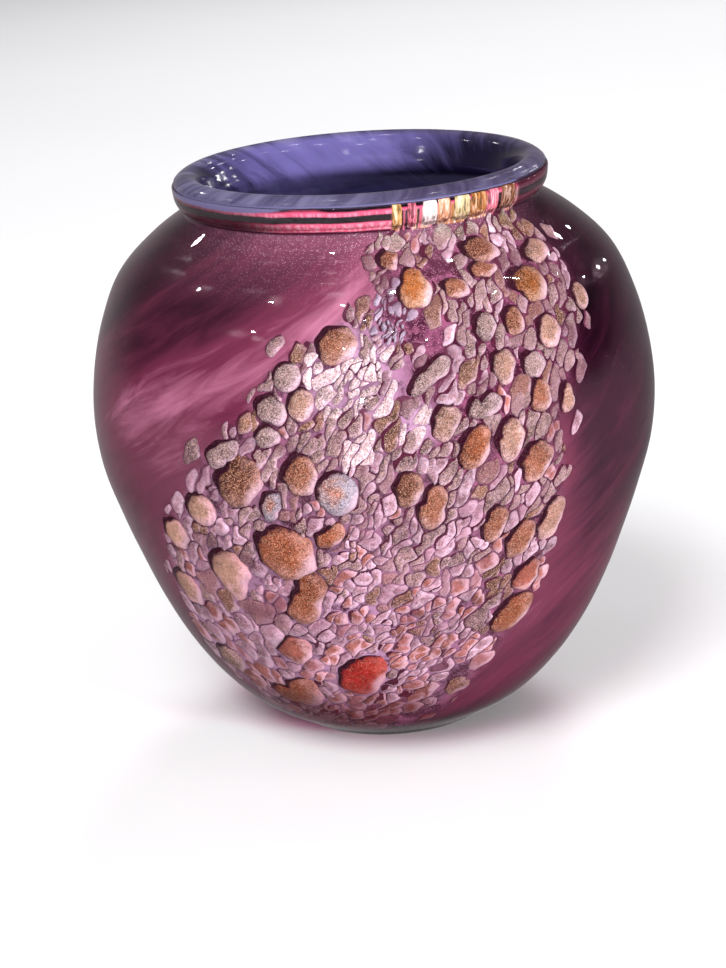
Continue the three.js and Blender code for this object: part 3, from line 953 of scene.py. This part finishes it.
# Ground of the spray between the chips, and the flakes of metal in it, painted pale as glints.
WEB = (64, 22, 44)
WEB_STEP = (0.40, 0.66, (142, 84, 114))
WEB_OPAL = (190, 166, 194)
WEB_DEEP = (70, 26, 50)
WEB_FLAKE_GLINTS = (176, 132, 150)
DUST_GROUND = (136, 92, 112)
DUST_FLAKE_GLINTS = (214, 184, 192)
DEEP_SCALE = 85.0          # waves per metre of the patches where the small chips lie deeper
FLAKE_CELLS = 3000.0       # flakes per metre in the ground


def liner_material():
    """Opal glass: plum powder with wisps outside, blue violet inside, lilac on the lip."""
    s = Shader("plum_and_lilac_opal")
    x, _, height = s.parts(s.place())
    swirl = s.attribute("swirl", "Vector")
    fine = s.noise(swirl, 3.0, 7.0, 0.62, 0.9)
    tone = s.plus(s.times(s.noise(swirl, 1.0, 3.0, 0.5, 0.8), 0.36), s.times(fine, 0.5),
                  0.06, s.attribute("shade"))
    plum = s.toned(tone, PLUM, *PLUM_STEPS)
    # ground of the spray: plum high up, pale pink and lilac lower down
    web = s.noise(s.place(), 260.0, 4.0, 0.62)
    ground = s.toned(web, WEB, WEB_STEP)
    ground = s.blend(s.times(s.ramp(web, 0.34, 0.54), s.attribute("pale")), ground, WEB_OPAL)
    ground = s.blend(s.times(s.deep_patches(), 0.6), ground, WEB_DEEP)
    _, chances, distance = s.cells(FLAKE_CELLS)
    rare = s.ramp(chances[0], 0.60, 0.68)
    ground = s.blend(s.times(rare, s.ramp(distance, 0.5, 0.2)), ground, WEB_FLAKE_GLINTS)
    plum = s.blend(s.attribute("spray"), plum, ground)
    # glitter dust on the shoulder, its flakes painted pale as glints
    dust = s.attribute("dust")
    plum = s.blend(s.times(dust, 0.4), plum, DUST_GROUND)
    plum = s.blend(s.times(rare, s.ramp(distance, 0.40, 0.15), dust), plum, DUST_FLAKE_GLINTS)
    at_lip = s.ramp(height, NECK_HEIGHT - 0.5 * MM, NECK_HEIGHT + 0.2 * MM)
    plum = s.blend(at_lip, plum, lip_colour(s))
    # inside: blue violet with painted light and shade, and lilac on the crown, darker at the
    # right
    lilac = s.toned(fine, LILAC, LILAC_STEP)
    lilac = s.blend(s.times(s.ramp(x, -30 * MM, 20 * MM), 0.5), lilac, LILAC_AT_RIGHT)
    inner = s.blend(s.attribute("crown"), s.toned(tone, VIOLET, *VIOLET_STEPS), lilac)
    return s.glass(s.blend(s.attribute("inside"), plum, inner), 0.12)


GRAIN_CELLS = 4600.0       # flakes of metal per metre in a chip
# Dark plum of the painted shade line round a chip, boldest at its upper left, and of its
# painted shadow crescent.
CHIP_SHADE_LINE = (50, 12, 30)
SMALL_SHADE_LINE = (78, 28, 50)
# Painted highlight on a chip's rim towards the lower right.
LIT_RIM_HIGHLIGHT = (232, 214, 224)
BASE_CHIP_COLOUR = (94, 24, 36)        # dark red that the chips blend into towards the base
OPAL_HIGH = (120, 78, 98)  # opal over the deepest of the small chips, high and low
OPAL_LOW = (186, 146, 164)
DEEP_CHIPS = (104, 58, 80)
SMALL_VEIL = 0.45
# Pale colours of the flakes of metal in the chips, painted as glints.
GOLD_SPARK = (244, 206, 164)
PALE_SPARK = (255, 240, 226)
SMALL_SPARK = (255, 232, 204)
USUAL_REACH = (0.3, 0.95)


def scaled(colour, share):
    """A colour with each part times a share."""
    return tuple(c * share for c in colour)


def veiled(s, tone, height, cloud, veil):
    """Opal over the deepest of the small chips, and patches that lie deeper in the plum."""
    luck = s.plus(s.math("FRACT", s.times(s.attribute("chance"), 7.3)), s.times(cloud, 0.8))
    opal = s.toned(height, OPAL_HIGH, (100 * MM, 60 * MM, OPAL_LOW))
    tone = s.blend(s.times(s.ramp(luck, 0.5, 1.05), veil), tone, opal)
    deep = s.times(s.deep_patches(), s.ramp(height, 30 * MM, 60 * MM), 0.6)
    return s.blend(deep, tone, DEEP_CHIPS)


def chip_material(name, core, rim, sparkle, reach, spark, outline, veil):
    """Chip: coloured core and pale rim, flakes of metal that catch the light with their colour
    painted pale as glints, and painted light and shade from the lower right: the core pushed
    to the upper left, the chip paler towards the lower right with a painted highlight on that
    rim, and a dark plum outline of painted shade, boldest at the upper left. sparkle is the
    share of flakes that catch the light, reach is where the core gives way to the rim, and
    veil is how much opal lies over the deepest."""
    s = Shader(name)
    edge = s.attribute("edge")
    side = s.attribute("side")
    height = s.parts(s.place())[2]
    cloud = s.math("SUBTRACT", s.noise(s.place(), 420.0, 3.0, 0.65), 0.5)
    patch = s.math("SUBTRACT", s.noise(s.place(), 95.0, 2.0), 0.5)
    grain, chances, distance = s.cells(GRAIN_CELLS)
    grit = s.math("SUBTRACT", chances[2], 0.5)
    # painted light from the lower right: the core shifts to the upper left and the chip grows
    # paler towards the lower right
    heart = s.plus(s.times(edge, 0.8), s.times(side, 0.42), s.times(cloud, 1.2))
    shade = s.plus(s.times(s.attribute("chance"), 0.27), 0.72 - 0.14 * sparkle,
                   s.times(side, 0.24), cloud, s.times(patch, 1.1),
                   s.times(grit, 0.2 + 1.2 * sparkle))
    grey = s.add("CombineColor", {0: shade, 1: shade, 2: shade}).outputs[0]
    tone = s.blend(1.0, s.toned(heart, core, (*reach, rim)), grey, "MULTIPLY")
    inward = s.ramp(heart, 1.25, 0.7)
    dark = s.ramp(chances[1], 1.0 - sparkle * 0.6, 1.0 - sparkle * 0.4)
    tone = s.blend(s.times(dark, inward, 0.5), tone, scaled(core, 0.45))
    # flakes of metal, painted pale as glints
    bright = s.ramp(chances[0], 1.0 - sparkle * 0.8, 1.02 - sparkle * 0.6)
    flake = s.times(bright, s.ramp(distance, 0.62, 0.34), inward)
    tone = s.blend(flake, tone, spark)
    # painted highlight on the rim towards the lower right
    sheen = s.times(s.ramp(side, 0.45, 0.9), s.ramp(edge, 1.1, 1.0), 0.75)
    tone = s.blend(sheen, tone, LIT_RIM_HIGHLIGHT)
    # dark line of painted shade round the chip, boldest at the upper left, away from the
    # painted light; the painted shadow crescents take it whole
    line = s.plus(s.math("SUBTRACT", edge, s.times(side, 0.3)), s.times(cloud, 0.7))
    tone = s.blend(s.times(s.ramp(line, 0.92, 1.15), s.attribute("bold")), tone, outline)
    if veil > 0:
        tone = veiled(s, tone, height, cloud, veil)
    tone = s.blend(s.times(s.ramp(height, 32 * MM, 10 * MM), 0.8), tone, BASE_CHIP_COLOUR)
    # each flake of metal tilts its own way
    tilt = s.vectors("MULTIPLY", s.vectors("SUBTRACT", grain, (0.5,) * 3), (0.9,) * 3)
    facing = s.vectors("ADD", s.add("NewGeometry").outputs["Normal"], tilt)
    return s.glass(tone, 0.28, Metallic=s.times(flake, 0.8),
                   Normal=s.vectors("NORMALIZE", facing))


STREAK_SHADE = (90, 40, 50)


def streak_material(name, core):
    """Drawn out chip on the lip: fine upright lines of one colour, with a dark edge."""
    s = Shader(name)
    height = s.parts(s.place())[2]
    pale = tuple((c + 255) / 2 for c in core)
    tone = s.toned(s.strands(1400.0, 160.0, 0.3), scaled(core, 0.55), (0.36, 0.5, core),
                   (0.5, 0.64, pale))
    low = s.ramp(height, NECK_HEIGHT + 1.5 * MM, NECK_HEIGHT - 0.5 * MM)
    tone = s.blend(s.times(low, 0.5), tone, STREAK_SHADE)
    rim = s.ramp(s.attribute("edge"), 0.93, 1.0)
    return s.glass(s.blend(s.times(rim, 0.6), tone, STREAK_SHADE), 0.2)


# Colour of the core, colour of the rim and share of bright flakes of each kind of chip.
CHIP_LOOKS = {
    "amber_glass": ((166, 100, 38), (196, 164, 134), 0.55),
    "copper_glass": ((154, 100, 74), (196, 166, 156), 0.55),
    "orange_glass": ((160, 92, 54), (192, 152, 134), 0.5),
    "red_glass": ((196, 44, 28), (206, 110, 96), 0.14),
    "coral_glass": ((188, 116, 94), (226, 190, 184), 0.12),
    "brown_glass": ((118, 72, 52), (180, 148, 134), 0.55),
    "tan_glass": ((178, 144, 120), (216, 190, 184), 0.4),
    "cream_glass": ((198, 166, 138), (228, 196, 192), 0.1),
    "silver_glass": ((170, 150, 142), (198, 184, 186), 0.5),
    "blue_glass": ((184, 126, 96), (156, 162, 172), 0.5),
}
SMALL_LOOKS = {
    "small_gold_chips": ((146, 114, 88), (180, 160, 152), 0.45),
    "small_silver_chips": ((164, 145, 141), (200, 184, 190), 0.42),
    "small_lilac_chips": ((182, 150, 158), (224, 208, 220), 0.16),
    "small_rose_chips": ((184, 126, 108), (226, 198, 202), 0.04),
    # near white: painted glare
    GLARE: ((244, 230, 228), (250, 244, 250), 0.55),
    BLUE: ((186, 184, 202), (206, 204, 220), 0.08),
}
# Large chips that look like another kind than the glass their slot names, because flakes of
# metal cover most of their colour.
LOOK_OF = {"chip_gold_middle": "tan_glass", "chip_gold_middle_upper": "tan_glass",
           "chip_gold_upper": "brown_glass", "chip_amber_shoulder": "tan_glass",
           "chip_bronze_upper": "silver_glass", "chip_coral_neck": "brown_glass",
           "chip_gold_right_lower": "tan_glass", "chip_copper_middle_right": "tan_glass"}
SPARKS = {"silver_glass": PALE_SPARK, "tan_glass": PALE_SPARK, "blue_glass": PALE_SPARK}
# Where the core gives way to the rim, for the kinds where it isn't the usual place.
CORE_REACH = {"blue_glass": (-0.1, 0.66), "coral_glass": (0.35, 0.9),
              "small_lilac_chips": (0.0, 0.75), "small_rose_chips": (0.15, 0.8)}
STREAK_LOOKS = {
    "amber_glass": (206, 156, 92),
    "coral_glass": (206, 104, 124),
    "blue_glass": (222, 208, 204),
    "orange_glass": (212, 150, 116),
    "cream_glass": (196, 176, 128),
    "copper_glass": (172, 112, 58),
    "brown_glass": (122, 74, 48),
}


# ==== the pieces ========================================================================
def keep(piece, material, slot, *nodes):
    """Gives a piece its material, rides it on the vase's one body and hides the CAD nodes it
    stands for. slot is not used."""
    piece.data.materials.append(material)
    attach(piece, BODY)
    if nodes:
        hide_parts(*nodes)


def add_casing(large):
    """Clear casing: ground base, wavy wall, rolled underside of the lip, and an inner face
    that runs hidden inside the liner."""
    hollow = [(PONTIL_RADIUS * u, PONTIL_DEPTH * (1 - u * u)) for u in np.linspace(0, 1, 9)]
    wall = smooth_curve(wall_rings, WALL_ROWS)
    lip = smooth_curve(lip_rings, LIP_ROWS)[1:]
    below_lip = [p for p in liner_outer_rings if p[1] < LIP_TOP + 0.4 * MM]
    back = Outline(below_lip, BACK_ROWS)
    hidden = back.line - HIDDEN * back.normal
    loop = [*hollow, *map(tuple, wall), *map(tuple, lip), *map(tuple, hidden[::-1]),
            (0.0, float(hidden[0][1]))]
    normals = normals_of(loop)
    first, last = len(hollow), len(hollow) + len(wall) + len(lip)
    bulges = [(chip["angle"], float(liner_skin.along(chip["along"])[1]), chip["local"],
               float(np.linalg.norm(chip["outline"], axis=1).mean())) for chip in large]

    def shape(angles, row):
        out, up = normals[row]
        height = loop[row][1]
        lift = np.zeros(len(angles))
        if first <= row < last:
            fade = min(1.0, height / (6 * MM))
            lift = wave(angles, height, CASING_WAVE) * WOBBLE * fade
            for angle, level, local, size in bulges:
                gap = np.hypot((angles - angle) * local, height - level) / size
                lift = lift + CHIP_BULGE * np.exp(-gap ** 2)
        return out, up, lift

    piece = new_object("clear_casing", *turned_mesh(loop, TURN_STEPS, shape))
    piece.data.set_sharp_from_angle(angle=math.radians(50))
    keep(piece, casing_material(), "casing_glass", CASING)


def outer_shade(turn, level, depth):
    """How much paler or darker the plum is than usual, at an azimuth in degrees, a height
    in mm and a depth inside the spray."""
    halo = bump(np.minimum(depth, 0), 0, 6 * MM)
    back = rise(turn, -150, 30)
    shoulder = rise(level, 104, 20) * rise(turn, -14.4, -24) * back
    far_left = rise(turn, -46, -25) * back
    right = rise(turn, 34, 16) * rise(turn, 150, -30) * np.clip((level - 45) / 40, 0.1, 1)
    low = rise(level, 46, -46) + 1.5 * rise(level, 16, -10)
    haze = bump(turn, 58, 13) * bump(level, 88, 15)
    # a pale streak climbs to the right on the front, with darker ones beside it
    ridge = level - 129.7 - 0.54 * turn
    streak = (0.17 + 0.08 * rise(turn, -15, -15)) * bump(ridge, 0, 8)
    beside = (0.02 * bump(ridge, -15, 10) * rise(turn, -40, -12)
              - 0.05 * bump(ridge, -13, 8) * rise(turn, -42, 12) - 0.10 * bump(ridge, 13, 6))
    front = rise(turn, -80, 20) * rise(turn, 12, -14)
    return ((streak + beside) * front + 0.05 * halo + 0.16 * haze - 0.20 * shoulder
            - 0.48 * right - 0.14 * low - 0.10 * far_left)


def inner_shade(turn, level):
    """The same for the violet, as painted light and shade: lightest on the wall opposite the
    spray and low in the bowl, darker at the sides and down the throat."""
    back = 0.5 - 0.5 * np.cos(np.radians(turn - 12))
    deep = rise(level, NECK_HEIGHT / MM - 3, -12)
    throat = rise(level, LIP_TOP / MM + 2, -10)
    return 0.52 * back ** 4 - 0.36 - 0.12 * throat * (1 - deep) + 1.1 * deep * back


def pale_ground(turn, level):
    """Share of opal in the ground of the spray: most low at the left, and round the chips
    painted near white as glare, where the pale ground is painted glare too."""
    pale = np.interp(level, *PALE_GROUND) * np.clip(0.9 - turn / 30, 0.1, 1)
    for azimuth, middle, reach, kind in KIND_PATCHES:
        if kind == GLARE:
            across = np.radians(turn - azimuth) * DRIFT_RADIUS / MM
            gap = np.hypot(across, level - middle)
            pale = np.maximum(pale, 0.9 * rise(gap, 1.5 * reach, -reach))
    return pale


def add_liner():
    """Opal liner: plum outside, lilac crown, blue violet inside."""
    outer = smooth_curve(liner_outer_rings, OUTER_ROWS)
    inner = smooth_curve(liner_inner_rings, INNER_ROWS)[::-1][1:]
    loop = [(0.0, float(outer[0][1])), *map(tuple, outer), *map(tuple, inner),
            (0.0, float(inner[-1][1]))]
    normals = normals_of(loop)

    def shape(angles, row):
        out, up = normals[row]
        if row <= OUTER_ROWS:
            return out, up, np.zeros(len(angles))
        return out, up, wave(angles, loop[row][1], LINER_WAVE) * WOBBLE

    vertices, faces = turned_mesh(loop, TURN_STEPS, shape)
    height = vertices[:, 2]
    angle = np.arctan2(vertices[:, 0], -vertices[:, 1])
    turn, level = np.degrees(angle), height / MM
    row = np.concatenate([[0], np.repeat(np.arange(1, len(loop) - 1), TURN_STEPS),
                          [len(loop) - 1]])
    depth = spray_depth(angle, height)
    inside = np.where((row > OUTER_ROWS) | (height > LIP_TOP + 0.5 * MM), 1.0, 0.0)
    crown = np.where(row <= OUTER_ROWS, inside, rise(height, height.max() - CROWN_DEPTH,
                                                     CROWN_DEPTH))
    twist = angle - height / TWIST_RISE
    values = {
        "swirl": np.column_stack([SWIRL * np.cos(twist), SWIRL * np.sin(twist),
                                  height / SWIRL_RISE]),
        "spray": rise(depth, -3 * MM, 5 * MM) * (1 - inside),
        "inside": inside,
        "crown": crown,
        "dust": rise(level, 125, 13) ** 1.5 * rise(np.abs(turn + 2), 72, -45),
        "pale": pale_ground(turn, level),
        "shade": np.where(inside > 0.5, inner_shade(turn, level),
                          outer_shade(turn, level, depth)),
    }
    piece = new_object("opal_bowl", vertices, faces, values)
    piece.data.set_sharp_from_angle(angle=math.radians(60))
    keep(piece, liner_material(), "liner_glass", LINER)


def add_large_chips():
    """The large chips and lip streaks, each in place of its CAD node."""
    looks = {slot: chip_material(slot.replace("_glass", "_chip"), *look,
                                 CORE_REACH.get(slot, USUAL_REACH),
                                 SPARKS.get(slot, GOLD_SPARK), CHIP_SHADE_LINE, 0.0)
             for slot, look in CHIP_LOOKS.items()}
    large = []
    for node in sorted(SLOT_OF):
        slot = SLOT_OF[node]
        if node.startswith("lip_"):
            piece = joined(node, [streak_outline(node)], LARGE_RINGS, STREAK_THICKNESS)
            look = streak_material(slot.replace("_glass", "_streak"), STREAK_LOOKS[slot])
            keep(piece, look, slot, node)
        elif node.startswith("chip_"):
            large.append(read_chip(node))
            name = node.replace("chip_", "glass_")
            piece = joined(name, large[-1:], LARGE_RINGS, LARGE_THICKNESS)
            keep(piece, looks[LOOK_OF.get(node, slot)], slot, node)
    return large


def add_small_chips(large):
    """The small chips between the large ones, one piece for each kind."""
    borders = large + [crescent(chip) for chip in large]
    sites = scatter(borders)
    places = np.array([[site["angle"], site["along"]] for site in sites])
    merge_neighbours(sites, places)
    # chips under the painted glare get no painted shadow and no dark shade line
    for site in sites:
        if kind_of(site) == GLARE:
            site["shadow"] = 0.0
            site["bold"] = 0.0
    for site in sites:
        site["outline"] = fit_outline(site, sites, places, borders)
    for name, slot in SMALL_SLOTS.items():
        chosen = [site for site in sites if kind_of(site) == name]
        piece = joined(name, chosen, SMALL_RINGS, SMALL_THICKNESS)
        veil = 0.0 if name == GLARE else SMALL_VEIL
        look = chip_material(name, *SMALL_LOOKS[name], CORE_REACH.get(name, USUAL_REACH),
                             SMALL_SPARK, SMALL_SHADE_LINE, veil)
        keep(piece, look, slot)


# ==== stage =============================================================================
def add_camera():
    lens = bpy.data.cameras.new("photo_view")
    lens.lens = CAMERA_LENS
    lens.sensor_width = 36.0
    lens.clip_start = 0.01
    camera = placed("photo_view", lens)
    turn, pitch, roll = (math.radians(v) for v in (CAMERA_TURN, CAMERA_PITCH, CAMERA_ROLL))
    rotation = (Matrix.Rotation(turn, 4, "Z") @ Matrix.Rotation(math.pi / 2 - pitch, 4, "X")
                @ Matrix.Rotation(-roll, 4, "Z"))
    camera.matrix_world = Matrix.Translation((0, -CAMERA_DISTANCE, CAMERA_HEIGHT)) @ rotation
    bpy.context.scene.camera = camera


def add_floor():
    """Pale floor."""
    half = FLOOR_SIZE / 2
    corners = [(-half, -half, 0), (half, -half, 0), (half, half, 0), (-half, half, 0)]
    floor = new_object("pale_floor", corners, [(0, 1, 2, 3)])
    s = Shader("pale_floor")
    colour = s.blend(s.noise(s.place(), 3.0, 2.0), *FLOOR_COLOURS)
    floor.data.materials.append(s.finish(s.add(
        "BsdfPrincipled", {"Base Color": colour, "Roughness": 0.9})))
    floor.visible_glossy = False


def add_lamp(name, azimuth, elevation, distance, size, power, shows=False):
    """Area lamp at a direction from the vase, facing its middle. shows says whether the
    glass mirrors it."""
    lamp = bpy.data.lights.new(name, "AREA")
    lamp.shape = "SQUARE"
    lamp.size = size
    lamp.energy = power
    made = placed(name, lamp)
    a, e = math.radians(azimuth), math.radians(elevation)
    away = Vector((math.sin(a) * math.cos(e), -math.cos(a) * math.cos(e), math.sin(e)))
    made.location = Vector((0, 0, cad_high.z / 2)) + away * distance
    made.rotation_mode = "QUATERNION"
    made.rotation_quaternion = away.to_track_quat("Z", "Y")
    made.visible_glossy = shows
    made.visible_transmission = shows


def add_world():
    """Dim soft room, a little paler above, and low down behind the vase."""
    world = bpy.data.worlds.new("soft_room")
    s = Nodes(world)
    x, y, z = s.parts(s.add("TexCoord").outputs["Generated"])
    behind = s.times(s.ramp(y, 0.3, 1.0, 0.0, 0.28), s.ramp(z, 0.0, 0.45, 1.0, 0.1))
    strength = s.plus(s.ramp(z, -0.1, 1.0, 0.04, 0.16), behind)
    strength = s.times(strength, s.ramp(x, -1.0, 1.0, 1.2, 0.55))
    seen = s.times(s.add("LightPath").outputs["Is Camera Ray"], BACKDROP)
    background = s.add("Background", {"Color": ROOM_COLOUR,
                                      "Strength": s.math("MAXIMUM", strength, seen)})
    s.add("OutputWorld", {"Surface": background.outputs[0]})
    bpy.context.scene.world = world


def add_lamps():
    """Large soft lamps that the glass doesn't mirror, and small ones that it does."""
    for lamp in SOFT_LAMPS:
        add_lamp(*lamp)
    for number, direction in enumerate(GLINTS):
        add_lamp(f"glint_{number}", *direction, GLINT_DISTANCE, GLINT_SIZE, GLINT_POWER, True)
    for number, direction in enumerate(SMALL_GLINTS):
        add_lamp(f"small_glint_{number}", *direction, GLINT_DISTANCE, SMALL_GLINT_SIZE,
                 SMALL_GLINT_POWER, True)


add_camera()
large_chips = add_large_chips()
add_small_chips(large_chips)
add_liner()
add_casing(large_chips)
add_floor()
add_world()
add_lamps()
bpy.context.scene.view_settings.view_transform = "Standard"
